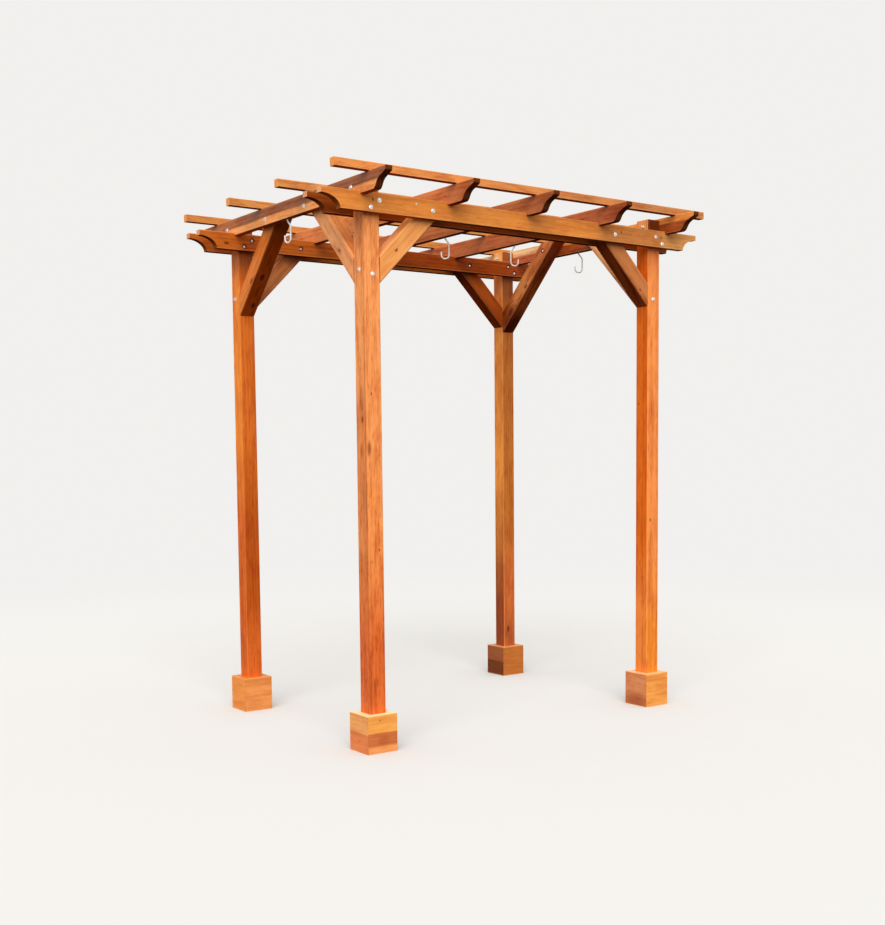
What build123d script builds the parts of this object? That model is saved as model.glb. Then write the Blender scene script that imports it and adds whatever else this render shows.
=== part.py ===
from build123d import *
import os

# Open timber garden pergola: four posts with boxed feet, a pair of beams at the front and
# at the back, notched rafters across them, purlins on top, knee braces and screw-in hooks.
# X runs along the beams, Y from the front to the back and Z up, all in millimetres.
# The origin is on the ground, under the middle of the frame.

# Posts
post_size = 89.0
post_height = 2682.0
post_spacing_x = 1826.0
post_spacing_y = 1282.0
post_edge_radius = 6.0

# Boards boxed round the foot of each post
trim_thickness = 38.0
trim_height = 184.0
trim_mitre_gap = 0.4
trim_edge_radius = 3.0

# Beams, one board on each side of a row of posts. Their underside lies by the drop below
# the posts' tops.
beam_thickness = 38.0
beam_height = 89.0
beam_drop = 153.0
beam_overhang = 287.0
beam_nose_height = 27.0
beam_cove_length = 100.0
beam_edge_radius = 2.5

# Rafters, notched over the four beam boards
rafter_thickness = 38.0
rafter_height = 89.0
rafter_overhang = 295.0
rafter_count = 5
rafter_notch_depth = 13.0
rafter_notch_clearance = 0.3
rafter_edge_bevel = 2.0

# Ogee at both ends of a rafter, from its nose to its underside
ogee_nose_height = 20.0
ogee_throat_inset = 66.0
ogee_throat_rise = 42.0
ogee_toe_inset = 92.0
ogee_nose_radius = 8.0
ogee_throat_radius = 60.0
ogee_toe_radius = 30.0

# Purlins, square bars laid on the rafters
purlin_size = 38.0
purlin_count = 4
purlin_overhang = 181.5
purlin_end_inset = 151.5
purlin_edge_bevel = 1.5

# Knee braces at 45 degrees, cut plumb against the post and level at the top. Their lower
# end lies by the drop below the beams' underside, and those under the back half of the
# rafters are set a little lower still.
brace_size = 89.0
brace_foot_drop = 314.0
back_rafter_brace_drop = 32.0
brace_below_beam_top = 20.0
brace_below_rafter_top = 12.0
brace_edge_bevel = 4.5

# Round pockets on the inner faces of the inner beams and rafter braces, where the nuts of the
# bolts sit. A rise is above the beams' or the rafters' underside, a cover is measured level
# from the lower slope of a front brace, and the inset and outset are from the middle of a post.
pocket_diameter = 28.0
pocket_depth = 10.0
upper_bolt_rise = 56.0
upper_bolt_inset = 22.0
lower_bolt_rise = 21.0
lower_bolt_outset = 25.0
beam_brace_bolt_rise = 40.0
beam_brace_bolt_cover = 74.5
rafter_brace_bolt_rise = 30.0
rafter_brace_bolt_cover = 27.5

# Hooks under the middle of the rafters, bent from wire that is modelled with many sides
hook_wire_diameter = 8.0
hook_wire_sides = 6
hook_end_bevel = 1.0
hook_bend_radius = 21.0
hook_height = 120.0
hook_neck_length = 8.0
hook_step_depth = 34.0
hook_step_radius = 12.0
hook_tip_height = 42.0
hook_turn = [-75.0, -35.0, -35.0, 145.0, -35.0]

# Places worked out from the sizes above
post_half = post_size / 2
row_y = post_spacing_y / 2
row_x = post_spacing_x / 2
beam_underside = post_height - beam_drop
beam_top = beam_underside + beam_height
beam_offset = post_half + beam_thickness / 2
rafter_underside = beam_top - rafter_notch_depth
rafter_top = rafter_underside + rafter_height
rafter_length = post_spacing_y + 2 * rafter_overhang
outer_rafter_x = row_x + post_half + rafter_thickness / 2
beam_length = post_spacing_x + 2 * beam_overhang
brace_foot_height = beam_underside - brace_foot_drop

sides_x = {"left": -1, "right": 1}
sides_y = {"front": -1, "back": 1}


def save(shape, node):
    export_step(shape, f"parts/{node}.step")


def spread(count, reach):
    """Places of count pieces, evenly spaced from -reach to reach."""
    return [reach * (2 * index / (count - 1) - 1) for index in range(count)]


def ease(board, axis, radius):
    """Round the long edges of a board, which run along axis."""
    return fillet(board.edges().filter_by(axis), radius)


def bevel(board, axis, width):
    """Plane the long edges of a board, which run along axis, to narrow flats."""
    return chamfer(board.edges().filter_by(axis), width)


def make_post(x, y):
    post = Pos(x, y) * Box(post_size, post_size, post_height, align=(Align.CENTER, Align.CENTER, Align.MIN))
    return ease(post, Axis.Z, post_edge_radius)


def make_trim_board():
    """One mitred board, against the face of a post that looks along -Y."""
    inner = post_half
    outer = post_half + trim_thickness
    gap = trim_mitre_gap / 2
    outline = Polyline(
        (-inner + gap, -inner), (inner - gap, -inner), (outer - gap, -outer), (-outer + gap, -outer), close=True
    )
    board = extrude(make_face(outline), trim_height)
    outer_face = board.faces().sort_by(Axis.Y)[0]
    return fillet(outer_face.edges().sort_by(Axis.Z)[-1], trim_edge_radius)


def make_trim(x, y):
    board = make_trim_board()
    return Compound([Pos(x, y) * Rot(Z=90 * turn) * board for turn in range(4)])


def cut_pocket(board, place, direction):
    """Sink a pocket into a board, from a point on its face, along the X or Y direction."""
    turn = Rot(Y=90) if direction == "X" else Rot(X=90)
    return board - Pos(place) * turn * Cylinder(pocket_diameter / 2, 2 * pocket_depth)


def make_beam(y):
    cove_rise = beam_height - beam_nose_height
    outline = Rectangle(beam_length, beam_height)
    for side in (-1, 1):
        corner = Pos(side * beam_length / 2, -beam_height / 2)
        outline -= corner * Ellipse(beam_cove_length, cove_rise)
    middle = Pos(0, y + beam_thickness / 2, beam_underside + beam_height / 2)
    beam = middle * extrude(Plane.XZ * outline, beam_thickness)
    return ease(beam, Axis.X, beam_edge_radius)


def make_inner_beam(y):
    beam = make_beam(y)
    face_y = y - beam_thickness / 2 if y > 0 else y + beam_thickness / 2
    brace_bolt_reach = beam_underside + beam_brace_bolt_rise - brace_foot_height - beam_brace_bolt_cover
    bolts = [
        (row_x - upper_bolt_inset, upper_bolt_rise),
        (row_x + lower_bolt_outset, lower_bolt_rise),
        (row_x - post_half - brace_bolt_reach, beam_brace_bolt_rise),
    ]
    for x, rise in bolts:
        for side in (-1, 1):
            beam = cut_pocket(beam, (side * x, face_y, beam_underside + rise), "Y")
    return beam


def ogee_corners(side):
    """The nose, throat and toe of one rafter end, in the rafter's own height and length."""
    tip = side * rafter_length / 2
    nose = (tip, rafter_height - ogee_nose_height)
    throat = (tip - side * ogee_throat_inset, ogee_throat_rise)
    toe = (tip - side * ogee_toe_inset, 0)
    return nose, throat, toe


def make_rafter_outline():
    nose_a, throat_a, toe_a = ogee_corners(-1)
    nose_b, throat_b, toe_b = ogee_corners(1)
    top_a = (nose_a[0], rafter_height)
    top_b = (nose_b[0], rafter_height)
    radii = [0, ogee_nose_radius, ogee_throat_radius, ogee_toe_radius]
    radii += [ogee_toe_radius, ogee_throat_radius, ogee_nose_radius, 0]
    corners = [top_a, nose_a, throat_a, toe_a, toe_b, throat_b, nose_b, top_b]
    return make_face(FilletPolyline(*corners, radius=radii, close=True))


def make_rafter(x):
    board = bevel(Box(rafter_thickness, rafter_length, rafter_height), Axis.Y, rafter_edge_bevel)
    shape = Pos(-rafter_thickness / 2) * extrude(Plane.YZ * make_rafter_outline(), rafter_thickness)
    rafter = Pos(x, 0, rafter_underside) * (Pos(0, 0, rafter_height / 2) * board & shape)
    notch_width = beam_thickness + 2 * rafter_notch_clearance
    notch = Box(rafter_thickness * 2, notch_width, rafter_notch_depth * 2)
    for row in (-row_y, row_y):
        for side in (-1, 1):
            rafter -= Pos(x, row + side * beam_offset, rafter_underside) * notch
    return rafter


def make_purlin(y):
    length = 2 * (outer_rafter_x + rafter_thickness / 2 + purlin_overhang)
    bar = bevel(Box(length, purlin_size, purlin_size), Axis.X, purlin_edge_bevel)
    return Pos(0, y, rafter_top + purlin_size / 2) * bar


def make_brace(low, top):
    """A brace that leaves a post along +X, from low at X = 0 to its level end at top."""
    drop = brace_size * 2 ** 0.5
    reach = top - low
    outline = Polyline((0, low), (reach, top), (reach - drop, top), (0, low + drop), close=True)
    brace = Pos(0, brace_size / 2) * extrude(make_face(Plane.XZ * outline), brace_size)
    return bevel(brace, Axis((0, 0, 0), (1, 0, 1)), brace_edge_bevel)


def make_beam_brace(x, y):
    side = 1 if x > 0 else -1
    brace = make_brace(brace_foot_height, beam_top - brace_below_beam_top)
    return Pos(x - side * post_half, y) * Rot(Z=90 + 90 * side) * brace


def make_rafter_brace(x, y):
    side = 1 if y > 0 else -1
    foot = y - side * post_half
    low = brace_foot_height - (back_rafter_brace_drop if y > 0 else 0)
    brace = make_brace(low, rafter_top - brace_below_rafter_top)
    brace = Pos(x, foot) * Rot(Z=-90 * side) * brace
    face_x = x - post_half if x > 0 else x + post_half
    bolt_z = rafter_underside + rafter_brace_bolt_rise
    bolt_reach = bolt_z - brace_foot_height - rafter_brace_bolt_cover
    return cut_pocket(brace, (face_x, foot - side * bolt_reach, bolt_z), "X")


def make_hook(x, turn):
    """A wire hook: a short neck, a side step, a straight shank, a round bend and a raised tip."""
    bend = hook_bend_radius
    bend_z = hook_wire_diameter / 2 + bend - hook_height
    tip = (-bend, hook_tip_height - hook_height)
    corners = [(0, 0), (0, -hook_neck_length), (bend, -hook_step_depth), (bend, bend_z)]
    shank = FilletPolyline(*corners, radius=hook_step_radius)
    bow = CenterArc((0, bend_z), bend, 0, -180)
    path = Plane.XZ * Wire([*shank.edges(), *bow.edges(), *Line(bow @ 1, tip).edges()])
    section = RegularPolygon(hook_wire_diameter / 2, hook_wire_sides)
    wire = sweep(Plane(path @ 0, z_dir=path % 0) * section, path=path)
    end_face = wire.faces().sort_by_distance(path @ 1)[0]
    wire = chamfer(end_face.edges(), hook_end_bevel)
    return Pos(x, 0, rafter_underside) * Rot(Z=turn) * wire


os.makedirs("parts", exist_ok=True)

for name_y, side_y in sides_y.items():
    for name_x, side_x in sides_x.items():
        corner = f"{name_y}_{name_x}"
        x = side_x * row_x
        y = side_y * row_y
        save(make_post(x, y), f"post_{corner}")
        save(make_trim(x, y), f"foot_trim_{corner}")
        save(make_beam_brace(x, y), f"beam_brace_{corner}")
        save(make_rafter_brace(x, y), f"rafter_brace_{corner}")
    save(make_beam(side_y * (row_y + beam_offset)), f"beam_{name_y}_outer")
    save(make_inner_beam(side_y * (row_y - beam_offset)), f"beam_{name_y}_inner")

for number, x in enumerate(spread(rafter_count, outer_rafter_x), 1):
    save(make_rafter(x), f"rafter_{number}")
    save(make_hook(x, hook_turn[number - 1]), f"hook_{number}")

purlin_reach = rafter_length / 2 - purlin_end_inset
for number, y in enumerate(spread(purlin_count, purlin_reach), 1):
    save(make_purlin(y), f"purlin_{number}")
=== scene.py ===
from math import cos, pi, radians, sin, sqrt, tan

import bmesh
import bpy
from mathutils import Matrix, Vector


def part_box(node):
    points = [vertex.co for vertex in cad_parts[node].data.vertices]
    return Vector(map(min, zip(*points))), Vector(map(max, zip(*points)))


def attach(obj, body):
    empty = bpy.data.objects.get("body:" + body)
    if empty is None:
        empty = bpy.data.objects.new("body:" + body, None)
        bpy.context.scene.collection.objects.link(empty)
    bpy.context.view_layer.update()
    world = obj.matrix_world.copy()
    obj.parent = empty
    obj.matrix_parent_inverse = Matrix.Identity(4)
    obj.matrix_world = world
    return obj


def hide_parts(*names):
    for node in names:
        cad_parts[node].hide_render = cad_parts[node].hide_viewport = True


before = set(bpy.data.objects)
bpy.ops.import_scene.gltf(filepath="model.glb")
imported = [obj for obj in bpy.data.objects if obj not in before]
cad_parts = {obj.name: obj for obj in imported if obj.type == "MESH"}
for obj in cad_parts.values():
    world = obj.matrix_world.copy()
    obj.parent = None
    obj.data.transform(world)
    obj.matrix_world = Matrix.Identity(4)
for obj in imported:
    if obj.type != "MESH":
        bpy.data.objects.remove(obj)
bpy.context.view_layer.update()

# A timber garden pergola in stained cedar. Sizes are in metres; those written in
# millimetres are multiplied by MM.
MM = 0.001
X_AXIS = Vector((1, 0, 0))
Y_AXIS = Vector((0, 1, 0))
Z_AXIS = Vector((0, 0, 1))
SIDES_X = {"left": -1, "right": 1}
SIDES_Y = {"front": -1, "back": 1}

# Places read from the frame
post_low, post_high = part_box("post_front_right")
post_x = (post_low.x + post_high.x) / 2
post_y = -(post_low.y + post_high.y) / 2
post_half = (post_high.x - post_low.x) / 2
outer_beam_face_y = -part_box("beam_front_outer")[0].y
inner_beam_face_y = -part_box("beam_front_inner")[1].y
outer_rafter_face_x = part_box("rafter_5")[1].x
brace_low, brace_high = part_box("beam_brace_front_left")
brace_width = brace_high.y - brace_low.y


# Colours

def linear(hex_colour):
    """The linear RGBA that Blender takes for an sRGB hex colour."""
    channels = [int(hex_colour[i:i + 2], 16) / 255 for i in (1, 3, 5)]
    return [c / 12.92 if c <= 0.04045 else ((c + 0.055) / 1.055) ** 2.4 for c in channels] + [1.0]


# Shader nodes

def add(tree, kind, inputs=(), **settings):
    """Add a node with its settings. Inputs are a list, or a dict by socket name, of values,
    sockets to link from, or nodes, which give their first output."""
    node = tree.nodes.new("ShaderNode" + kind)
    for name, value in settings.items():
        setattr(node, name, value)
    pairs = inputs.items() if isinstance(inputs, dict) else enumerate(inputs)
    for name, value in pairs:
        if isinstance(name, int):
            socket = node.inputs[name]
        else:
            socket = next(s for s in node.inputs if s.name == name and s.enabled)
        if isinstance(value, bpy.types.Node):
            value = next(s for s in value.outputs if s.enabled)
        if isinstance(value, bpy.types.NodeSocket):
            tree.links.new(value, socket)
        else:
            socket.default_value = value
    return node


def emptied(owner):
    """The node tree of a material or a world, with nothing in it."""
    owner.use_nodes = True
    owner.node_tree.nodes.clear()
    return owner.node_tree


# Stained cedar. A board is sawn from a log, so its grain is the log's growth rings cut by the
# board's faces: straight lines where a face runs through the rings, arches where it runs along
# them. An orange penetrating stain leaves early wood bright, makes late wood and knots darker
# and redder, and sinks deep into end grain, which goes brown. It dries to a soft satin. Some
# faces that look up are paler, and the undersides are darkened with painted shade.

RING_SPACING = 15 * MM       # real rings are 2 to 4 mm apart, drawn coarser so that they show
LATE_WOOD = (0.25, 0.9)      # where in a ring the late wood starts, and where it is deepest
DRIFT_SIZE = 40 * MM         # how far the rings wander from straight
MEAN_DRIFT = DRIFT_SIZE / 2
DRIFT_WAVES = (1.3, 5, 5)    # wanderings in a metre along the grain, out of a face and across

# Patterns drawn out along the grain: length, width, detail and roughness of their noise
FIBRES = (110 * MM, 7 * MM, 3.0, 0.6)      # real fibres are far finer, drawn a pixel or two wide
BLOTS = (150 * MM, 34 * MM, 4.0, 0.6)      # patches that drank more or less of the stain
FLECKS = (45 * MM, 5 * MM, 1.0, 0.5)       # open pores and torn fibres, drawn a pixel wide
CHECKS = (1100 * MM, 24 * MM, 0.0, 0.5)    # drying cracks, and how far apart they may lie

# The values of a pattern's noise between which it goes from pale to deep
FIBRE_RANGE = (0.34, 0.66)
BLOT_RANGE = (0.38, 0.64)
FLECK_RANGE = (0.48, 0.66)

# How deep each pattern is on average over a face, from 0 to 1
LATE_MEAN = 0.34
FIBRE_MEAN = 0.5
BLOT_MEAN = 0.46
FLECK_MEAN = 0.25

# Knots, stains and patches of painted shade, in times their radius
KNOT_STRETCH = 2             # how many times longer than wide a knot is
KNOT_EDGE = (0.55, 1.25)     # where it starts to fade, and where it ends
KNOT_STRENGTH = 0.85
SWELL_REACH = 3.5            # how far away the rings still give way to it
SWELL_HEIGHT = 1.6           # how far they are pushed aside
SPOT_EDGE = (0.3, 1.3)      # where stains and patches of painted shade start to fade, and where they end
PIN_SPACING = 42 * MM        # pin knots, a few millimetres wide
PIN_SQUEEZE = (0.6, 1, 1)    # along the grain they are longer and lie further apart
PIN_EDGE = (0.06, 0.16)      # in spacings

CRACK_EDGE = (0.004, 0.02)   # how near its middle the noise comes in a crack and at its edge
CRACKED_WOOD = (0.46, 0.6)   # cracks open between these values of the noise of the blots
CRACK_DEPTH = 0.8            # in times the relief
RELIEF = 0.5 * MM
RELIEF_STRENGTH = 0.35
ARRIS_WIDTH = 4 * MM

# How far a face has turned where a look starts, and where it is full: the cosine of the angle
SIDE_TURN = (0.6, 0.9)       # to the direction of a side coloured otherwise, partly with painted light and shade
TOP_TURN = (0.8, 0.95)       # to straight up
UNDER_TURN = (-0.3, -0.7)    # to straight up, for an underside
END_TURN = (0.2, 0.55)       # to the direction of the grain
END_RINGS = 2                # how much stronger the rings show in end grain

WOOD_IOR = 1.5
EARLY_ROUGHNESS = 0.46
LATE_ROUGHNESS = 0.62
WOOD_SHEEN = 0.16            # open pores leave little of the film that a varnish would
DULL_SHEEN = 0.0             # and undersides and end grain are drier still

# Early wood, late wood, and the painted shade of undersides, as shares of a board's mean
# red, green and blue
PALE = (1.08, 1.2, 1.3)
DEEP = (0.68, 0.43, 0.3)
UNDERSIDE_SHADE = (0.53, 0.34, 0.28)
MEAN_GRAIN = 0.26            # how far the mean colour lies from early to late wood

PALE_ARRIS_AND_HIGHLIGHT = "#FFB878"       # where the stain is rubbed thin, with a painted highlight along the rounded edge
DARK_ARRIS = "#9A4418"       # where it has gathered
CRACK_BROWN = "#561A06"
KNOT_BROWN = "#702408"
STAIN_AND_SHADE_BROWN = "#8E3208"
END_BROWN = "#6A2408"
PALE_TOP_COLOUR = "#FFDFA4"

# Boards that are boxed round a post are drawn as one. Beyond the mitre the grain turns with the
# board, and comes from another part of the log, this far along.
BOX_SHIFT = 3.0


def shares_of(colour, shares):
    """The linear RGBA of a hex colour with each channel multiplied by its share, and then all
    of them by one factor where one would pass 1."""
    channels = [c * share for c, share in zip(linear(colour), shares)]
    return [c / max(1.0, *channels) for c in channels] + [1.0]


def place_of(node, along, face):
    """The middle of a board, its own directions (along the grain, out of a face and across),
    and half its size out of that face and across."""
    low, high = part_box(node)
    turn = Matrix((along, face, along.cross(face)))
    half = turn @ (high - low) / 2
    return (low + high) / 2, turn, (abs(half.y), abs(half.z))


def point_in_wood(tree, place, boxed):
    """Each point's own place in the board: along the grain, out of a face and across."""
    middle, turn, _ = place
    point = add(tree, "Mapping", {
        "Vector": add(tree, "TexCoord").outputs["Object"],
        "Location": -(turn @ middle), "Rotation": turn.to_euler(),
    })
    if not boxed:
        return point
    parts = add(tree, "SeparateXYZ", [point])
    size_x = add(tree, "Math", [parts.outputs[0]], operation="ABSOLUTE")
    size_y = add(tree, "Math", [parts.outputs[1]], operation="ABSOLUTE")
    side = add(tree, "Math", [size_x, size_y], operation="GREATER_THAN")
    turned = add(tree, "CombineXYZ", [
        add(tree, "Math", [parts.outputs[1], BOX_SHIFT], operation="ADD"),
        parts.outputs[0], parts.outputs[2],
    ])
    return add(tree, "Mix", {"Factor": side, "A": point, "B": turned}, data_type="VECTOR")


def spot(tree, point, place, stretch, inner, outer):
    """A factor of 1 within the inner distance of a place in the wood and 0 beyond the outer one.
    All are in millimetres, and stretch is how many times longer than wide the spot is."""
    squeeze = (1 / stretch, 1, 1)
    centre = [p * s * MM for p, s in zip(place, squeeze)]
    distance = add(tree, "VectorMath", [
        add(tree, "VectorMath", [point, squeeze], operation="MULTIPLY"), centre,
    ], operation="DISTANCE")
    return add(tree, "MapRange", {
        "Value": distance, "From Min": inner * MM, "From Max": outer * MM,
        "To Min": 1.0, "To Max": 0.0,
    }, interpolation_type="SMOOTHSTEP")


def along_grain(tree, point, pattern, seed):
    """The noise of a pattern that is drawn out along the grain."""
    length, width, detail, roughness = pattern
    squeezed = add(tree, "VectorMath", [point, (1 / length, 1 / width, 1 / width)],
                   operation="MULTIPLY")
    return add(tree, "TexNoise", {
        "Vector": squeezed, "W": seed, "Scale": 1.0, "Detail": detail, "Roughness": roughness,
    }, noise_dimensions="4D")


def late_wood(tree, point, drifted, pith, knots):
    """How deep in late wood each point lies: growth rings round the pith, which swell round
    each knot. Late wood deepens slowly and ends sharply, where the next year starts."""
    pith_face, pith_across = [v * MM + MEAN_DRIFT for v in pith]
    section = add(tree, "VectorMath", [drifted, (0, 1, 1), (0, -pith_face, -pith_across)],
                  operation="MULTIPLY_ADD")
    radius = add(tree, "VectorMath", [section], operation="LENGTH")
    for *knot_place, size in knots:
        swell = spot(tree, point, knot_place, KNOT_STRETCH, 0, SWELL_REACH * size)
        radius = add(tree, "Math", [swell, SWELL_HEIGHT * size * MM, radius],
                     operation="MULTIPLY_ADD")
    ring = add(tree, "Math", [
        add(tree, "Math", [radius, 1 / RING_SPACING], operation="MULTIPLY"),
    ], operation="FRACT")
    start, deepest = LATE_WOOD
    rise = add(tree, "MapRange", {"Value": ring, "From Min": start, "From Max": deepest},
               interpolation_type="SMOOTHSTEP")
    fall = add(tree, "MapRange", {"Value": ring, "From Min": deepest, "From Max": 1.0,
                                  "To Min": 1.0, "To Max": 0.0})
    return add(tree, "Math", [rise, fall], operation="MULTIPLY")


def drying_cracks(tree, point, blot_noise, strength, seed):
    """Thin lines along the grain, where a noise that is drawn out along it crosses its middle."""
    noise = along_grain(tree, point, CHECKS, seed)
    off_middle = add(tree, "Math", [
        add(tree, "Math", [noise, 0.5], operation="SUBTRACT"),
    ], operation="ABSOLUTE")
    line = add(tree, "MapRange", {"Value": off_middle, "From Min": CRACK_EDGE[0],
                                  "From Max": CRACK_EDGE[1], "To Min": 1.0, "To Max": 0.0})
    reach = add(tree, "MapRange", {"Value": blot_noise, "From Min": CRACKED_WOOD[0],
                                   "From Max": CRACKED_WOOD[1], "To Max": strength})
    return add(tree, "Math", [line, reach], operation="MULTIPLY")


def near_arris(tree, point, half_size):
    """A factor of 1 at a board's long edges and 0 beyond their width."""
    sides = add(tree, "VectorMath", [point], operation="ABSOLUTE")
    outward = add(tree, "SeparateXYZ", [sides])
    past_face, past_across = [
        add(tree, "Math", [outward.outputs[direction], half - ARRIS_WIDTH], operation="SUBTRACT")
        for direction, half in enumerate(half_size, 1)
    ]
    return add(tree, "MapRange", {
        "Value": add(tree, "Math", [past_face, past_across], operation="MINIMUM"),
        "From Min": -ARRIS_WIDTH / 2, "From Max": ARRIS_WIDTH / 2,
    }, interpolation_type="SMOOTHSTEP")


def blend(tree, factor, strength, colour, other):
    """The colour turned towards another by a factor with a strength."""
    share = add(tree, "Math", [factor, strength], operation="MULTIPLY")
    return add(tree, "Mix", {"Factor": share, "A": colour, "B": other}, data_type="RGBA")


def toned(tree, grain, parts, colour, turns_to):
    """A board's colour from early to late wood, and what it has turned to further on, which may
    be a pair of a colour and its own turns_to. parts is the point's place in the board."""
    wood = add(tree, "Mix", {
        "Factor": grain, "A": shares_of(colour, PALE), "B": shares_of(colour, DEEP),
    }, data_type="RGBA")
    for other, direction, start, stop in turns_to:
        shift = MEAN_DRIFT if direction else 0     # the grain wanders sideways alone
        share = add(tree, "MapRange", {
            "Value": parts.outputs[direction],
            "From Min": start * MM + shift, "From Max": stop * MM + shift,
        })
        other, further = other if isinstance(other, tuple) else (other, ())
        wood = blend(tree, share, 1.0, wood, toned(tree, grain, parts, other, further))
    return wood


def timber(name, place, colour, turns_to=(), faces=(),
           pith=(60, 15), rings=0.35, streaks=0.4, blots=0.5, flecks=0.3,
           knots=(), stains=(), pins=0.4, cracks=0.3,
           arris=PALE_ARRIS_AND_HIGHLIGHT, arris_strength=0.3, pale_tops=0.0, underside_shade=1.0,
           end=END_BROWN, end_turns_to=(), end_strength=1.0, boxed=False, seed=0.0):
    """The material of one board. All places are in millimetres from the middle of the board.
    colour is its mean colour, and turns_to lists (colour, direction, start, stop): what it has
    turned to at stop, along direction 0, 1 or 2, for along, face and across; some of these turns
    are painted shade. faces lists (normal, colour, turns_to) for a side coloured otherwise,
    partly by the stain it took and partly with painted light and shade. pith is the middle of the
    log, as (face, across). knots are (along, face, across, radius) and stains (along, face,
    across, radius, stretch, strength): stains, and patches of painted shade. The rest are
    strengths from
    0 to 1."""
    material = bpy.data.materials.new(name)
    tree = emptied(material)
    _, turn, half_size = place
    normal = add(tree, "NewGeometry").outputs["True Normal"]
    point = point_in_wood(tree, place, boxed)
    drift = add(tree, "TexNoise", {
        "Vector": add(tree, "VectorMath", [point, DRIFT_WAVES], operation="MULTIPLY"),
        "W": seed, "Scale": 1.0, "Detail": 2.0,
    }, noise_dimensions="4D")
    drifted = add(tree, "VectorMath", [
        drift.outputs["Color"], (0, DRIFT_SIZE, DRIFT_SIZE), point,
    ], operation="MULTIPLY_ADD")
    parts = add(tree, "SeparateXYZ", [drifted])

    # from early to late wood: growth rings, streaks of fibre, flecks, and blots of stain, each
    # with a seed of its own
    late = late_wood(tree, point, drifted, pith, knots)
    streak = add(tree, "MapRange", {"Value": along_grain(tree, point, FIBRES, seed + 1),
                                    "From Min": FIBRE_RANGE[0], "From Max": FIBRE_RANGE[1]})
    fleck = add(tree, "MapRange", {"Value": along_grain(tree, point, FLECKS, seed + 4),
                                   "From Min": FLECK_RANGE[0], "From Max": FLECK_RANGE[1]})
    blot_noise = along_grain(tree, point, BLOTS, seed + 2)
    blot = add(tree, "MapRange", {"Value": blot_noise,
                                  "From Min": BLOT_RANGE[0], "From Max": BLOT_RANGE[1]},
               interpolation_type="SMOOTHSTEP")
    layers = [(late, rings, LATE_MEAN), (streak, streaks, FIBRE_MEAN),
              (fleck, flecks, FLECK_MEAN), (blot, blots, BLOT_MEAN)]
    grain = MEAN_GRAIN - sum(strength * mean for _, strength, mean in layers)
    for pattern, strength, _ in layers:
        grain = add(tree, "Math", [pattern, strength, grain], operation="MULTIPLY_ADD")
    grain.use_clamp = True

    # the board's colours
    wood = toned(tree, grain, parts, colour, turns_to)
    for looks, face_colour, face_turns_to in faces:
        facing = add(tree, "VectorMath", [normal, looks], operation="DOT_PRODUCT")
        share = add(tree, "MapRange", {"Value": facing.outputs["Value"],
                                       "From Min": SIDE_TURN[0], "From Max": SIDE_TURN[1]})
        face_wood = toned(tree, grain, parts, face_colour, face_turns_to)
        wood = blend(tree, share, 1.0, wood, face_wood)

    # knots, stains and patches of painted shade, pin knots and cracks
    for *knot_place, size in knots:
        core = spot(tree, point, knot_place, KNOT_STRETCH, *(size * edge for edge in KNOT_EDGE))
        wood = blend(tree, core, KNOT_STRENGTH, wood, linear(KNOT_BROWN))
    for *spot_place, size, stretch, strength in stains:
        darkened = spot(tree, point, spot_place, stretch, *(size * edge for edge in SPOT_EDGE))
        wood = blend(tree, darkened, strength, wood, linear(STAIN_AND_SHADE_BROWN))
    pin = add(tree, "TexVoronoi", {
        "Vector": add(tree, "VectorMath", [point, PIN_SQUEEZE], operation="MULTIPLY"),
        "W": seed, "Scale": 1 / PIN_SPACING,
    }, voronoi_dimensions="4D")
    pricked = add(tree, "MapRange", {"Value": pin, "From Min": PIN_EDGE[0],
                                     "From Max": PIN_EDGE[1], "To Min": 1.0, "To Max": 0.0})
    wood = blend(tree, pricked, pins, wood, linear(KNOT_BROWN))
    crack = drying_cracks(tree, point, blot_noise, cracks, seed + 3)
    wood = blend(tree, crack, 1.0, wood, linear(CRACK_BROWN))

    # pale arrises, rubbed thin and with a painted highlight, or darkened ones; paler tops; and
    # undersides darkened with painted shade
    wood = blend(tree, near_arris(tree, point, half_size), arris_strength, wood, linear(arris))
    level = add(tree, "SeparateXYZ", [normal]).outputs[2]
    upward = add(tree, "MapRange", {"Value": level,
                                    "From Min": TOP_TURN[0], "From Max": TOP_TURN[1]})
    # faces that look up turn paler
    wood = blend(tree, upward, pale_tops, wood, linear(PALE_TOP_COLOUR))
    downward = add(tree, "MapRange", {"Value": level,
                                      "From Min": UNDER_TURN[0], "From Max": UNDER_TURN[1]})
    # painted shade: faces that look down take a darker, redder colour
    shaded_underside = add(tree, "Mix", {"Factor": 1.0, "A": wood, "B": [*UNDERSIDE_SHADE, 1.0]},
                    data_type="RGBA", blend_type="MULTIPLY")
    wood = blend(tree, downward, underside_shade, wood, shaded_underside)

    # end grain, on the faces that look along the board
    facing = add(tree, "VectorMath", [normal, turn[0]], operation="DOT_PRODUCT")
    cut = add(tree, "MapRange", {"Value": add(tree, "Math", [facing], operation="ABSOLUTE"),
                                 "From Min": END_TURN[0], "From Max": END_TURN[1]})
    end_grain = add(tree, "Math", [late, END_RINGS * rings], operation="MULTIPLY")
    end_wood = toned(tree, end_grain, parts, end, end_turns_to)
    wood = blend(tree, cut, end_strength, wood, end_wood)

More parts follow.
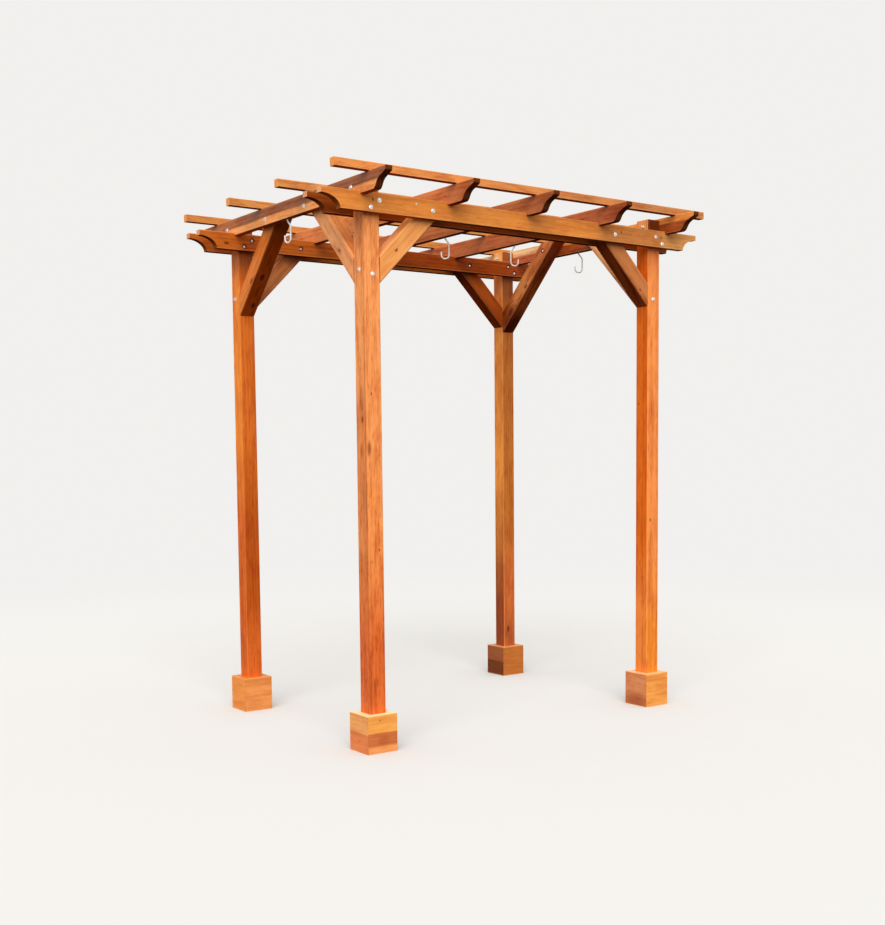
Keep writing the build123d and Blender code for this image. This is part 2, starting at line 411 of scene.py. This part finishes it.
    # surface
    gloss = add(tree, "MapRange", {"Value": grain,
                                   "To Min": EARLY_ROUGHNESS, "To Max": LATE_ROUGHNESS})
    dry = add(tree, "Math", [cut, end_strength, downward], operation="MULTIPLY_ADD",
              use_clamp=True)
    sheen = add(tree, "MapRange", {"Value": dry, "To Min": WOOD_SHEEN, "To Max": DULL_SHEEN})
    height = add(tree, "Math", [crack, -CRACK_DEPTH, grain], operation="MULTIPLY_ADD")
    bump = add(tree, "Bump", {"Height": height, "Strength": RELIEF_STRENGTH, "Distance": RELIEF})
    shader = add(tree, "BsdfPrincipled", {
        "Base Color": wood, "Roughness": gloss, "IOR": WOOD_IOR, "Specular IOR Level": sheen,
        "Normal": bump,
    })
    add(tree, "OutputMaterial", {"Surface": shader})
    return material


# Each board has its own seed, so that no two come from the same part of the log: the first of
# a kind, and the step to the next
SEEDS = {"post": (0, 5.3), "foot_trim": (30, 4.7), "beam": (60, 6.1), "rafter": (90, 3.9),
         "purlin": (120, 4.3), "brace": (150, 3.7)}


def finish_board(node, place, kind, number, **look):
    """Give a carried-over board its own timber."""
    first, step = SEEDS[kind]
    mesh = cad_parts[node].data
    mesh.materials.clear()
    mesh.materials.append(timber(f"stained_cedar_{node}", place, seed=first + number * step,
                                 **look))


# Bolts through the beams at each corner: (x, z). A nut sits on the floor of a 10 mm pocket, and
# painted shade darkens the wood round it.
BEAM_BOLTS = [(891 * MM, 2585 * MM), (938 * MM, 2550 * MM), (589 * MM, 2569 * MM)]
POCKET_DEPTH = 10 * MM
POCKET_RADIUS = 14 * MM
POST_BOLT = (645 * MM, 2645 * MM)          # (y, z), through a rafter and a post
BRACE_BOLT = (204 * MM, 2635 * MM)         # (y, z), through a rafter and a knee brace
SIDE_LAG = (645 * MM, 2277 * MM)           # (y, z), through a post into the foot of a brace
FRONT_LAG = (910 * MM, 2255 * MM)          # (x, z)
BEAM_SCREW = (-685 * MM, 2591 * MM)        # (x, z), a lone one in the front beam


def pocket_shade(place, x, y, z):
    """The painted shade of a pocket at a point of the frame, as a dark patch in a board's own
    directions.
    """
    middle, turn, _ = place
    return (*(turn @ (Vector((x, y, z)) - middle) / MM), POCKET_RADIUS / MM, 1, 1.0)


# Normals of sides coloured otherwise: partly the stain they took, partly painted light and shade
LEFT = (-1, 0, 0)
NEAR_SLOPE = (0, -1 / sqrt(2), 1 / sqrt(2))

# Posts, with the grain upright. They are redder at the foot, and darker near the beams with
# painted shade.

posts = {
    "front_left": dict(
        colour="#FF9C54", turns_to=[("#F9934A", 0, 80, -60), ("#E0682A", 0, -250, -800)],
        faces=[(LEFT, "#FF9C54", [("#E88442", 0, 400, 250), ("#E0682A", 0, -450, -800)])],
        pith=(10, -6), streaks=0.45, blots=0.45, flecks=0.5, pins=0.35, cracks=0.15,
        knots=[(242, -45, -13, 8), (361, -13, -45, 4), (-373, 19, -45, 4)],
        stains=[(107, -30, -45, 13, 3, 0.7), (95, -45, 1, 13, 2.5, 0.5),
                (310, -45, -5, 24, 4, 0.4), (-135, -45, -20, 20, 5, 0.35),
                # the first patch on the next line, 1110 mm up the left side, is painted shade
                # under the beams
                (1110, -45, -10, 40, 2, 0.35), (-1010, -13, -45, 16, 2, 0.35),
                (0, -45, -37, 4, 320, 0.6), (-1000, -40, -45, 9, 22, 0.45)],
        arris=DARK_ARRIS,
    ),
    "front_right": dict(
        colour="#F48B42",
        # the turns at 1000 and 1262 mm are painted shade, under the beams and on the top above
        # them
        turns_to=[("#F08628", 0, -500, -950), ("#DC7434", 0, 1000, 1150),
                  ("#74340F", 0, 1262, 1276)],
        faces=[(LEFT, "#E46608", [("#F48234", 0, -400, -800), ("#FFA254", 0, 1180, 1270)])],
        pith=(-12, 14), streaks=0.25, blots=0.35, pins=0.15, cracks=0.1,
        knots=[(346, -45, 23, 4), (-298, -19, -45, 5)],
        stains=[(300, -13, -45, 5, 12, 0.45)],
        arris_strength=0.05,
    ),
    "back_left": dict(
        # the back posts' colours are deeper partly for painted shade
        colour="#D96A1C",
        # the first turn, and the last on the left side, are painted shade under the beams
        turns_to=[("#944A18", 0, 980, 1130), ("#B84E08", 0, 250, -250),
                  ("#DD6520", 0, -700, -1050)],
        faces=[(LEFT, "#FF8C22", [("#DC6206", 0, 200, -250), ("#CC6820", 0, 1030, 1120)])],
        pith=(-70, 10), rings=0.3, streaks=0.35, blots=0.4, pins=0.1,
        arris_strength=0.1,
    ),
    "back_right": dict(
        # deeper partly for painted shade; the last turn is painted shade under the beams
        colour="#C46C24",
        turns_to=[("#D0682C", 0, -350, -700), ("#B85C28", 0, -900, -1080),
                  ("#98501E", 0, 980, 1080)],
        faces=[(LEFT, "#FC963A", [("#963F0C", 0, -50, -850), ("#FFB060", 0, 1180, 1270)])],
        pith=(65, -10), streaks=0.3, pins=0.2, cracks=0.1,
        knots=[(-1047, -10, -45, 12)],
        stains=[(735, 26, -45, 14, 6, 0.3)],
        # a pale arris: rubbed thin, with a painted highlight along the edge
        arris="#F09A60", arris_strength=0.5,
    ),
}
for number, (corner, look) in enumerate(posts.items()):
    node = f"post_{corner}"
    finish_board(node, place_of(node, Z_AXIS, X_AXIS), "post", number, end="#9A5A2C", **look)

# Boards boxed round the feet, with the grain level

trims = {
    "front_left": dict(
        colour="#D2703A", turns_to=[("#FFA84E", 2, 0, 4), ("#FFA058", 2, -58, -66)],
        faces=[(LEFT, "#F0844A", [("#FFAA60", 2, 0, 4)])],
        knots=[(-15, -81, 67, 3)], stains=[(6, -81, -30, 26, 1.5, 0.3)], pale_tops=1.0,
    ),
    "front_right": dict(
        colour="#F59A46", faces=[(LEFT, "#E48A56", [])],
        blots=0.45, stains=[(BOX_SHIFT / MM, -82, -85, 70, 2, 0.5)], pale_tops=0.5,
    ),
    "back_left": dict(
        colour="#F2944E", turns_to=[("#E0843E", 2, 40, 80)], faces=[(LEFT, "#FA9440", [])],
    ),
    "back_right": dict(
        # its left side is darkened with painted shade
        colour="#C8702E", faces=[(LEFT, "#743406", [("#A0542A", 2, 0, 6)])], pale_tops=0.2,
    ),
}
for number, (corner, look) in enumerate(trims.items()):
    node = f"foot_trim_{corner}"
    look = {"rings": 0.12, "streaks": 0.15, "blots": 0.3, "flecks": 0.12, **look}
    finish_board(node, place_of(node, X_AXIS, Y_AXIS), "foot_trim", number, pith=(-130, 20),
                 cracks=0.05, end_strength=0.0, boxed=True, **look)

# Beams along X. The dark marks are old screw holes.

beams = {
    "front_outer": dict(
        colour="#EA8C3A", turns_to=[("#D07E3C", 0, 350, 650), ("#EAA054", 0, 880, 980)],
        pith=(-90, 60), rings=0.15, streaks=0.25, blots=0.3, flecks=0.2, pins=0.1, cracks=0.1,
        stains=[(-926, -19, 12, 9, 0.6, 1.0), (634, -19, 11, 8, 0.6, 1.0),
                (931, -19, 9, 8, 0.6, 1.0), (915, -19, -5, 32, 2, 0.25)],
        underside_shade=0.75,
    ),
    # the inner front beam shows only in the shade behind the outer one: its dark colour is
    # painted shade
    "front_inner": dict(colour="#904208", pith=(70, -30), underside_shade=0.7),
    # the back beams' deeper colours are partly painted shade under the roof
    "back_inner": dict(colour="#C0601A", turns_to=[("#A04204", 0, -300, 100)], pith=(60, 70),
                       knots=[(-1045, -19, -12, 8)]),
    "back_outer": dict(colour="#B85E18", pith=(-60, 10)),
}
for number, (board, look) in enumerate(beams.items()):
    node = f"beam_{board}"
    place = place_of(node, X_AXIS, Y_AXIS)
    row, layer = board.split("_")
    if layer == "inner":
        look["stains"] = [pocket_shade(place, side * x, SIDES_Y[row] * inner_beam_face_y, z)
                          for side in (-1, 1) for x, z in BEAM_BOLTS]
    # the dark ends are end grain, and in the coves also painted shade
    finish_board(node, place, "beam", number, end="#8E441C",
                 end_turns_to=[("#F0A878", 0, -1190, -1196), ("#F0A878", 0, 1190, 1196)],
                 end_strength=0.9, **look)

# Rafters along Y. Their direction across is up, for the heartwood that shows as a dark half.

rafters = {
    1: dict(colour="#9C5A36", turns_to=[("#B4683C", 0, 400, 700), ("#FFA258", 2, -4, -14)]),
    2: dict(colour="#DC7E42", turns_to=[("#B45E30", 0, -720, -850)],
            stains=[(-710, 19, -1, 5, 2, 0.8)]),
    3: dict(colour="#BE6A38", turns_to=[("#A0542C", 0, -740, -860)],
            stains=[(-712, 19, 2, 4, 1.5, 0.8)]),
    4: dict(colour="#BE6434", turns_to=[("#9C4A26", 0, -740, -860)],
            stains=[(-600, 19, 5, 5, 1.5, 0.8)]),
    5: dict(colour="#AA4E1C", turns_to=[("#CC6A40", 0, 200, 330),
                                        (("#F09848", [("#FFC88A", 0, 200, 330)]), 2, 2, 14)]),
}
for number, look in rafters.items():
    node = f"rafter_{number}"
    finish_board(node, place_of(node, Y_AXIS, -X_AXIS), "rafter", number, pith=(80, -40),
                 end="#6A3416", **look)

# Purlins along X

purlins = {
    1: dict(colour="#E68A44", turns_to=[("#C47A42", 0, -800, 800)]),
    2: dict(colour="#D68A46"),
    3: dict(colour="#D08440"),
    4: dict(colour="#C87C3A"),
}
for number, look in purlins.items():
    node = f"purlin_{number}"
    finish_board(node, place_of(node, X_AXIS, Y_AXIS), "purlin", number, pith=(40, 30),
                 rings=0.2, pins=0.1, cracks=0.2, end="#FFA050", end_strength=0.9, **look)

# Knee braces, whose grain climbs at 45 degrees from a post

beam_braces = {
    "front_left": dict(
        colour="#FFA658", rings=0.1, streaks=0.25, blots=0.3, flecks=0.1, pins=0.1, cracks=0.0,
        knots=[(-137, -45, 3, 6)], stains=[(-60, -45, 6, 10, 8, 0.15)],
    ),
    "front_right": dict(
        colour="#C47038", blots=0.8, pins=0.5, knots=[(-216, -45, 26, 6), (-219, -10, 47, 7)],
    ),
    # the back braces darken towards the beam above them with painted shade
    "back_left": dict(colour="#C87840", turns_to=[("#8E4E26", 0, 10, 80)]),
    "back_right": dict(colour="#B4500E", turns_to=[("#8A4210", 0, 30, 110)], underside_shade=0.75),
}
rafter_braces = {
    "front_left": dict(
        colour="#FFA666", faces=[(NEAR_SLOPE, "#FF9640", [])],
        streaks=0.35, blots=0.2, flecks=0.4, cracks=0.5,
        knots=[(-163, -45, 12, 6), (-122, 22, -45, 4)],
    ),
    "front_right": dict(colour="#F8A666", blots=0.7),
    "back_left": dict(
        # darker towards the rafter above it: painted shade
        colour="#E27620", turns_to=[("#B05E28", 0, 60, 260)],
        knots=[(-173, -45, -28, 10), (-132, 0, -45, 12), (-321, 11, -45, 10)],
    ),
    "back_right": dict(
        colour="#CC7038", turns_to=[("#F0924C", 0, 90, -20), ("#8E420E", 0, -180, -300)],
        blots=1.0, pins=0.4, knots=[(-50, -45, -25, 9), (-255, -45, -20, 18)],
    ),
}
# The middle line of a brace climbs this far above the middle of its box.
brace_lift = brace_width / sqrt(2) * Z_AXIS
for number, corner in enumerate(beam_braces):
    row, side = corner.split("_")
    for kind, face, along, looks in (
        ("beam", Y_AXIS, Z_AXIS - SIDES_X[side] * X_AXIS, beam_braces),
        ("rafter", X_AXIS, Z_AXIS - SIDES_Y[row] * Y_AXIS, rafter_braces),
    ):
        node = f"{kind}_brace_{corner}"
        middle, turn, _ = place_of(node, along.normalized(), face)
        place = (middle + brace_lift, turn, (brace_width / 2, brace_width / 2))
        look = looks[corner]
        if kind == "rafter":
            y, z = BRACE_BOLT
            look["stains"] = [pocket_shade(place, SIDES_X[side] * (post_x - post_half),
                                            SIDES_Y[row] * y, z)]
        finish_board(node, place, "brace", number, pith=(20, 8), end="#8A3A12", **look)


# Mesh pieces

def in_scene(name, data):
    """A new object in the scene."""
    thing = bpy.data.objects.new(name, data)
    bpy.context.scene.collection.objects.link(thing)
    return thing


def skin(mesh, rings, smooth=False):
    """Faces between rings that have as many points each, and over the first and the last ring."""
    loops = [[mesh.verts.new(point) for point in ring] for ring in rings]
    for first, second in zip(loops, loops[1:]):
        for index in range(len(first)):
            after = (index + 1) % len(first)
            corners = (first[index], first[after], second[after], second[index])
            mesh.faces.new(corners).smooth = smooth
    mesh.faces.new(reversed(loops[0]))
    mesh.faces.new(loops[-1])


def piece(name, mesh, material):
    """The finished mesh as an object that stands still with the frame."""
    bmesh.ops.recalc_face_normals(mesh, faces=mesh.faces)
    data = bpy.data.meshes.new(name)
    mesh.to_mesh(data)
    mesh.free()
    data.materials.append(material)
    thing = in_scene(name, data)
    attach(thing, "root")
    return thing


def weathered(name, patch_size, detail, patch_range, colours, roughnesses, **shader_inputs):
    """A coating whose new colour and roughness have turned to their weathered ones in patches."""
    material = bpy.data.materials.new(name)
    tree = emptied(material)
    noise = add(tree, "TexNoise", {"Vector": add(tree, "TexCoord").outputs["Object"],
                                   "Scale": 1 / patch_size, "Detail": detail})
    patch = add(tree, "MapRange", {"Value": noise, "From Min": patch_range[0],
                                   "From Max": patch_range[1]})
    new, old = colours
    smooth, rough = roughnesses
    shader = add(tree, "BsdfPrincipled", {
        "Base Color": add(tree, "Mix", {"Factor": patch, "A": linear(new), "B": linear(old)},
                          data_type="RGBA"),
        "Roughness": add(tree, "MapRange", {"Value": patch, "To Min": smooth, "To Max": rough}),
        **shader_inputs,
    })
    add(tree, "OutputMaterial", {"Surface": shader})
    return material


# Bolts, lag screws and nuts: zinc plated steel. The plating is thin and bright, and goes matt
# and greyer in patches after a season outdoors.

zinc = weathered("zinc_plated_steel", patch_size=6 * MM, detail=3.0, patch_range=(0.4, 0.65),
                 colours=("#F4F4F1", "#C4C4BE"), roughnesses=(0.32, 0.55), Metallic=1.0)

HEAD_FLATS = 12.7 * MM       # across the flats
HEAD_HEIGHT = 5.4 * MM
NUT_HEIGHT = 6.8 * MM
CROWN_WIDTH = 0.96           # of the flat top of a head or a nut, in times its flats
CROWN_SLOPE = 0.55           # of the chamfer round it
WASHER_RADIUS = 11.1 * MM
WASHER_HEIGHT = 1.8 * MM
WASHER_EDGE = 0.3 * MM
THREAD_RADIUS = 4.0 * MM
THREAD_DEPTH = 0.7 * MM
THREAD_PITCH = 1.4 * MM
THREAD_TURNS = 4
SCREW_RADIUS = 4.2 * MM
SCREW_HEIGHT = 1.0 * MM
SCREW_SHOULDER = 0.6         # where the head starts to round over, in times its height
SCREW_RIM = 0.8              # the flat of the head, in times its radius
RECESS_WIDTH = 0.45          # the square recess, in times that radius
RECESS_FLOOR = 0.2           # in times the height
HEAD_SIDES = 24
THREAD_SIDES = 16
SCREW_SIDES = 16


def ring_at(place, height, radius, sides, corners=0, slope=0.0):
    """Points round the axis of a fastener. Where corners are given, the radius is that of the
    flats of a regular polygon, and the points sink by the slope as they stand out past it."""
    points = []
    for index in range(sides):
        angle = 2 * pi * index / sides
        size = radius
        if corners:
            half_flat = pi / corners
            size /= cos((angle + half_flat) % (2 * half_flat) - half_flat)
        level = height - slope * (size - radius)
        points.append(place @ Vector((size * cos(angle), size * sin(angle), level)))
    return points


def add_washer(mesh, place):
    profile = [(0, WASHER_RADIUS), (WASHER_HEIGHT - WASHER_EDGE, WASHER_RADIUS),
               (WASHER_HEIGHT, WASHER_RADIUS - WASHER_EDGE)]
    skin(mesh, [ring_at(place, height, radius, HEAD_SIDES) for height, radius in profile])


def add_hexagon(mesh, place, bottom, height):
    """A hexagon whose top corners are chamfered to a circle, as on a bolt head or a nut."""
    flat = HEAD_FLATS / 2
    crown = CROWN_WIDTH * flat
    top = bottom + height
    shoulder = top - CROWN_SLOPE * (flat - crown)
    skin(mesh, [
        ring_at(place, bottom, flat, HEAD_SIDES, corners=6),
        ring_at(place, shoulder, flat, HEAD_SIDES, corners=6, slope=CROWN_SLOPE),
        ring_at(place, top, crown, HEAD_SIDES),
    ])


def add_thread(mesh, place, bottom):
    root_radius = THREAD_RADIUS - THREAD_DEPTH
    rings = [ring_at(place, bottom, root_radius, THREAD_SIDES)]
    for turn in range(THREAD_TURNS):
        level = bottom + turn * THREAD_PITCH
        rings.append(ring_at(place, level + THREAD_PITCH / 2, THREAD_RADIUS, THREAD_SIDES))
        rings.append(ring_at(place, level + THREAD_PITCH, root_radius, THREAD_SIDES))
    skin(mesh, rings)


def add_head(mesh, place):
    add_washer(mesh, place)
    add_hexagon(mesh, place, WASHER_HEIGHT, HEAD_HEIGHT)


def add_nut(mesh, place, bottom=0.0):
    add_hexagon(mesh, place, bottom, NUT_HEIGHT)
    add_thread(mesh, place, bottom + NUT_HEIGHT)


def add_screw(mesh, place):
    """A deck screw's head, a little proud of the wood, with its square recess."""
    recess = RECESS_WIDTH * SCREW_RADIUS
    skin(mesh, [
        ring_at(place, 0, SCREW_RADIUS, SCREW_SIDES),
        ring_at(place, SCREW_SHOULDER * SCREW_HEIGHT, SCREW_RADIUS, SCREW_SIDES),
        ring_at(place, SCREW_HEIGHT, SCREW_RIM * SCREW_RADIUS, SCREW_SIDES),
        ring_at(place, SCREW_HEIGHT, recess, SCREW_SIDES, corners=4),
        ring_at(place, RECESS_FLOOR * SCREW_HEIGHT, recess, SCREW_SIDES, corners=4),
    ])


def on_face(x, y, z, direction, turn):
    """The place of a fastener on a face that looks along direction, turned about its axis."""
    aim = direction.to_track_quat("Z", "Y").to_matrix().to_4x4()
    return Matrix.Translation((x, y, z)) @ aim @ Matrix.Rotation(turn, 4, "Z")


# Each fastener came to rest at another turn, in radians: the first of a corner, the step to the
# next, and the lag screws after the last bolt.
FIRST_TURN = 0.4
NEXT_TURN = 0.7
SIDE_LAG_TURN = 1.3
FRONT_LAG_TURN = 1.9
BEAM_SCREW_TURN = 0.3
PURLIN_SCREW_TURN = 0.5      # from one purlin to the next; from rafter to rafter it is 1

for name_y, side_y in SIDES_Y.items():
    for name_x, side_x in SIDES_X.items():
        corner = f"{name_y}_{name_x}"
        out_x = side_x * X_AXIS
        out_y = side_y * Y_AXIS
        bolts = bmesh.new()
        nuts = bmesh.new()
        turn = FIRST_TURN + side_x + 2 * side_y
        for x, z in BEAM_BOLTS:
            turn += NEXT_TURN
            add_head(bolts, on_face(side_x * x, side_y * outer_beam_face_y, z, out_y, turn))
            seat_y = inner_beam_face_y + POCKET_DEPTH
            add_nut(nuts, on_face(side_x * x, side_y * seat_y, z, -out_y, turn))
        for (y, z), depth in ((POST_BOLT, 0.0), (BRACE_BOLT, POCKET_DEPTH)):
            turn += NEXT_TURN
            add_head(bolts, on_face(side_x * outer_rafter_face_x, side_y * y, z, out_x, turn))
            seat_x = post_x - post_half + depth
            place = on_face(side_x * seat_x, side_y * y, z, -out_x, turn)
            if depth:
                add_nut(nuts, place)
            else:
                add_washer(nuts, place)
                add_nut(nuts, place, WASHER_HEIGHT)
        y, z = SIDE_LAG
        add_head(bolts, on_face(side_x * (post_x + post_half), side_y * y, z, out_x,
                                turn + SIDE_LAG_TURN))
        x, z = FRONT_LAG
        add_head(bolts, on_face(side_x * x, side_y * (post_y + post_half), z, out_y,
                                turn + FRONT_LAG_TURN))
        piece(f"bolt_heads_{corner}", bolts, zinc)
        piece(f"bolt_nuts_{corner}", nuts, zinc)

screws = bmesh.new()
x, z = BEAM_SCREW
add_screw(screws, on_face(x, -outer_beam_face_y, z, -Y_AXIS, BEAM_SCREW_TURN))
piece("beam_screw", screws, zinc)

# Screws that hold the purlins down on the rafters
for number in purlins:
    screws = bmesh.new()
    low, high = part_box(f"purlin_{number}")
    for rafter in rafters:
        below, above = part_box(f"rafter_{rafter}")
        add_screw(screws, on_face((below.x + above.x) / 2, (low.y + high.y) / 2, high.z, Z_AXIS,
                                  PURLIN_SCREW_TURN * number + rafter))
    piece(f"purlin_screws_{number}", screws, zinc)


# Hooks: steel wire dipped in white vinyl. The dip leaves a smooth, soft gloss, and gathers in a
# thick lip where the hook meets the wood.

vinyl = weathered("dipped_white_vinyl", patch_size=15 * MM, detail=2.0, patch_range=(0.45, 0.7),
                  colours=("#F4F4F1", "#E4E3DD"), roughnesses=(0.3, 0.42), IOR=1.53)

HOOK_RADIUS = 4 * MM
HOOK_LIP_RADIUS = 5.2 * MM
HOOK_LIP_LENGTH = 3 * MM
HOOK_LIP_EDGE = 0.6          # where the lip starts to taper, in times its length
HOOK_BEND = 21 * MM
HOOK_STEP_RADIUS = 12 * MM
HOOK_LEVELS = [0, -8 * MM, -34 * MM, -95 * MM]     # rafter, neck, step, bend
HOOK_TIP = -78 * MM
HOOK_TURNS = [-75, -35, -35, 145, -35]             # in degrees about the neck
HOOK_SIDES = 14
HOOK_STEP_POINTS = 8
HOOK_BEND_POINTS = 24
HOOK_TIP_POINTS = 6
HOOK_TIP_QUARTER = 5.2       # more than the last point's number, so the tip ends in a small flat


def rounded(before, corner, after, radius, steps):
    """Points of an arc that rounds a corner of a path."""
    towards = (before - corner).normalized()
    away = (after - corner).normalized()
    half = towards.angle(away) / 2
    middle = corner + (towards + away).normalized() * radius / sin(half)
    start = corner + towards * radius / tan(half)
    stop = corner + away * radius / tan(half)
    chord = [start.lerp(stop, index / steps) - middle for index in range(steps + 1)]
    return [middle + radius * point.normalized() for point in chord]


# The hook's middle line from the rafter to the tip: (point, radius)
neck_top, neck_foot, step_foot, bend_level = HOOK_LEVELS
corners = [Vector((0, 0, neck_top)), Vector((0, 0, neck_foot)), Vector((HOOK_BEND, 0, step_foot)),
           Vector((HOOK_BEND, 0, bend_level))]
hook_line = [(corners[0], HOOK_LIP_RADIUS),
             (Vector((0, 0, -HOOK_LIP_EDGE * HOOK_LIP_LENGTH)), HOOK_LIP_RADIUS),
             (Vector((0, 0, -HOOK_LIP_LENGTH)), HOOK_RADIUS)]
for index in (1, 2):         # the two corners of the step
    arc = rounded(*corners[index - 1:index + 2], HOOK_STEP_RADIUS, HOOK_STEP_POINTS)
    hook_line += [(point, HOOK_RADIUS) for point in arc]
for index in range(HOOK_BEND_POINTS + 1):
    angle = pi * index / HOOK_BEND_POINTS
    level = bend_level - HOOK_BEND * sin(angle)
    hook_line.append((Vector((HOOK_BEND * cos(angle), 0, level)), HOOK_RADIUS))
for index in range(HOOK_TIP_POINTS):
    angle = pi / 2 * index / HOOK_TIP_QUARTER
    level = HOOK_TIP - HOOK_RADIUS * (1 - sin(angle))
    hook_line.append((Vector((-HOOK_BEND, 0, level)), HOOK_RADIUS * cos(angle)))

for number, turn in enumerate(HOOK_TURNS, 1):
    low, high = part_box(f"rafter_{number}")
    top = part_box(f"hook_{number}")[1].z
    spin = Matrix.Rotation(radians(turn), 4, "Z")
    place = Matrix.Translation(((low.x + high.x) / 2, 0, top)) @ spin
    rings = []
    for index, (point, radius) in enumerate(hook_line):
        before = hook_line[max(index - 1, 0)][0]
        after = hook_line[min(index + 1, len(hook_line) - 1)][0]
        side = (after - before).normalized().cross(Y_AXIS)
        angles = [2 * pi * step / HOOK_SIDES for step in range(HOOK_SIDES)]
        rings.append([place @ (point + radius * (cos(a) * side + sin(a) * Y_AXIS))
                      for a in angles])
    hook_mesh = bmesh.new()
    skin(hook_mesh, rings, smooth=True)
    hook = piece(f"vinyl_hook_{number}", hook_mesh, vinyl)
    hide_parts(f"hook_{number}")


# Camera, at the photograph's viewing angle

IMAGE_HEIGHT = 925
SENSOR = 36.0
CAMERA_FOCAL_PX = 1245.1
CAMERA_LEVEL_PX = 560.0                # row of the image that the camera is level with
CAMERA_PLACE = (-4.065, -5.649, 1.408)
CAMERA_HEADING = 0.6192                # from +Y towards +X, in radians
CAMERA_TILT = -0.0832
CAMERA_ROLL = -0.0099

camera_data = bpy.data.cameras.new("camera")
camera_data.sensor_width = SENSOR
camera_data.lens = CAMERA_FOCAL_PX / IMAGE_HEIGHT * SENSOR
camera_data.shift_y = (CAMERA_LEVEL_PX - IMAGE_HEIGHT / 2) / IMAGE_HEIGHT
camera = in_scene("camera", camera_data)
camera.matrix_world = (
    Matrix.Translation(CAMERA_PLACE)
    @ Matrix.Rotation(-CAMERA_HEADING, 4, "Z")
    @ Matrix.Rotation(pi / 2 + CAMERA_TILT, 4, "X")
    @ Matrix.Rotation(CAMERA_ROLL, 4, "Z")
)
bpy.context.scene.camera = camera


# Soft daylight: an even sky, and a broad sun from the front, high and to the left

SKY_STRENGTH = 0.82
SUN_STRENGTH = 2.6
SUN_WIDTH = 55               # degrees
SUN_FROM = (-0.50, -0.66, 0.56)
BACKGROUND = "#F1F0EE"


def shown(tree):
    """A factor of 1 for what the camera and clear reflections see, and 0 for spreading light."""
    rays = add(tree, "LightPath")
    direct = add(tree, "Math", [rays.outputs["Is Camera Ray"], rays.outputs["Is Glossy Ray"]],
                 operation="ADD")
    return add(tree, "Math", [direct, rays.outputs["Is Transmission Ray"]], operation="ADD",
               use_clamp=True)


world = bpy.data.worlds.new("studio")
bpy.context.scene.world = world
tree = emptied(world)
sky = add(tree, "Background", {"Color": linear("#FFFFFF"), "Strength": SKY_STRENGTH})
backdrop = add(tree, "Background", {"Color": linear(BACKGROUND), "Strength": 1.0})
add(tree, "OutputWorld", {"Surface": add(tree, "MixShader", [shown(tree), sky, backdrop])})

sun_data = bpy.data.lights.new("sun", "SUN")
sun_data.energy = SUN_STRENGTH
sun_data.angle = radians(SUN_WIDTH)
sun = in_scene("sun", sun_data)
sun.rotation_euler = Vector(SUN_FROM).to_track_quat("Z", "Y").to_euler()

# A pale floor that fades into the backdrop. It shows pale to the camera and in reflections, and
# is darker to the light that it throws back up, so that the undersides stay as deep as they are.

FLOOR_SIZE = 60.0
FLOOR_FADE = (3.0, 9.0)      # from the middle
FLOOR_COLOUR = "#DEDCD8"
FLOOR_BOUNCE = "#3C3B33"

floor_data = bpy.data.meshes.new("floor")
floor_mesh = bmesh.new()
bmesh.ops.create_grid(floor_mesh, x_segments=1, y_segments=1, size=FLOOR_SIZE)
floor_mesh.to_mesh(floor_data)
floor_mesh.free()
floor = in_scene("floor", floor_data)

floor_material = bpy.data.materials.new("pale_floor")
tree = emptied(floor_material)
floor_shown = shown(tree)
near = add(tree, "BsdfDiffuse", {
    "Color": add(tree, "Mix", {"Factor": floor_shown, "A": linear(FLOOR_BOUNCE),
                               "B": linear(FLOOR_COLOUR)}, data_type="RGBA"),
})
distance = add(tree, "VectorMath", [add(tree, "TexCoord").outputs["Object"]], operation="LENGTH")
far = add(tree, "MapRange", {"Value": distance, "From Min": FLOOR_FADE[0],
                             "From Max": FLOOR_FADE[1]}, interpolation_type="SMOOTHSTEP")
fading = add(tree, "Math", [far, floor_shown], operation="MULTIPLY")
glow = add(tree, "Emission", {"Color": linear(BACKGROUND), "Strength": 1.0})
add(tree, "OutputMaterial", {"Surface": add(tree, "MixShader", [fading, near, glow])})
floor_data.materials.append(floor_material)

bpy.context.scene.view_settings.view_transform = "Standard"
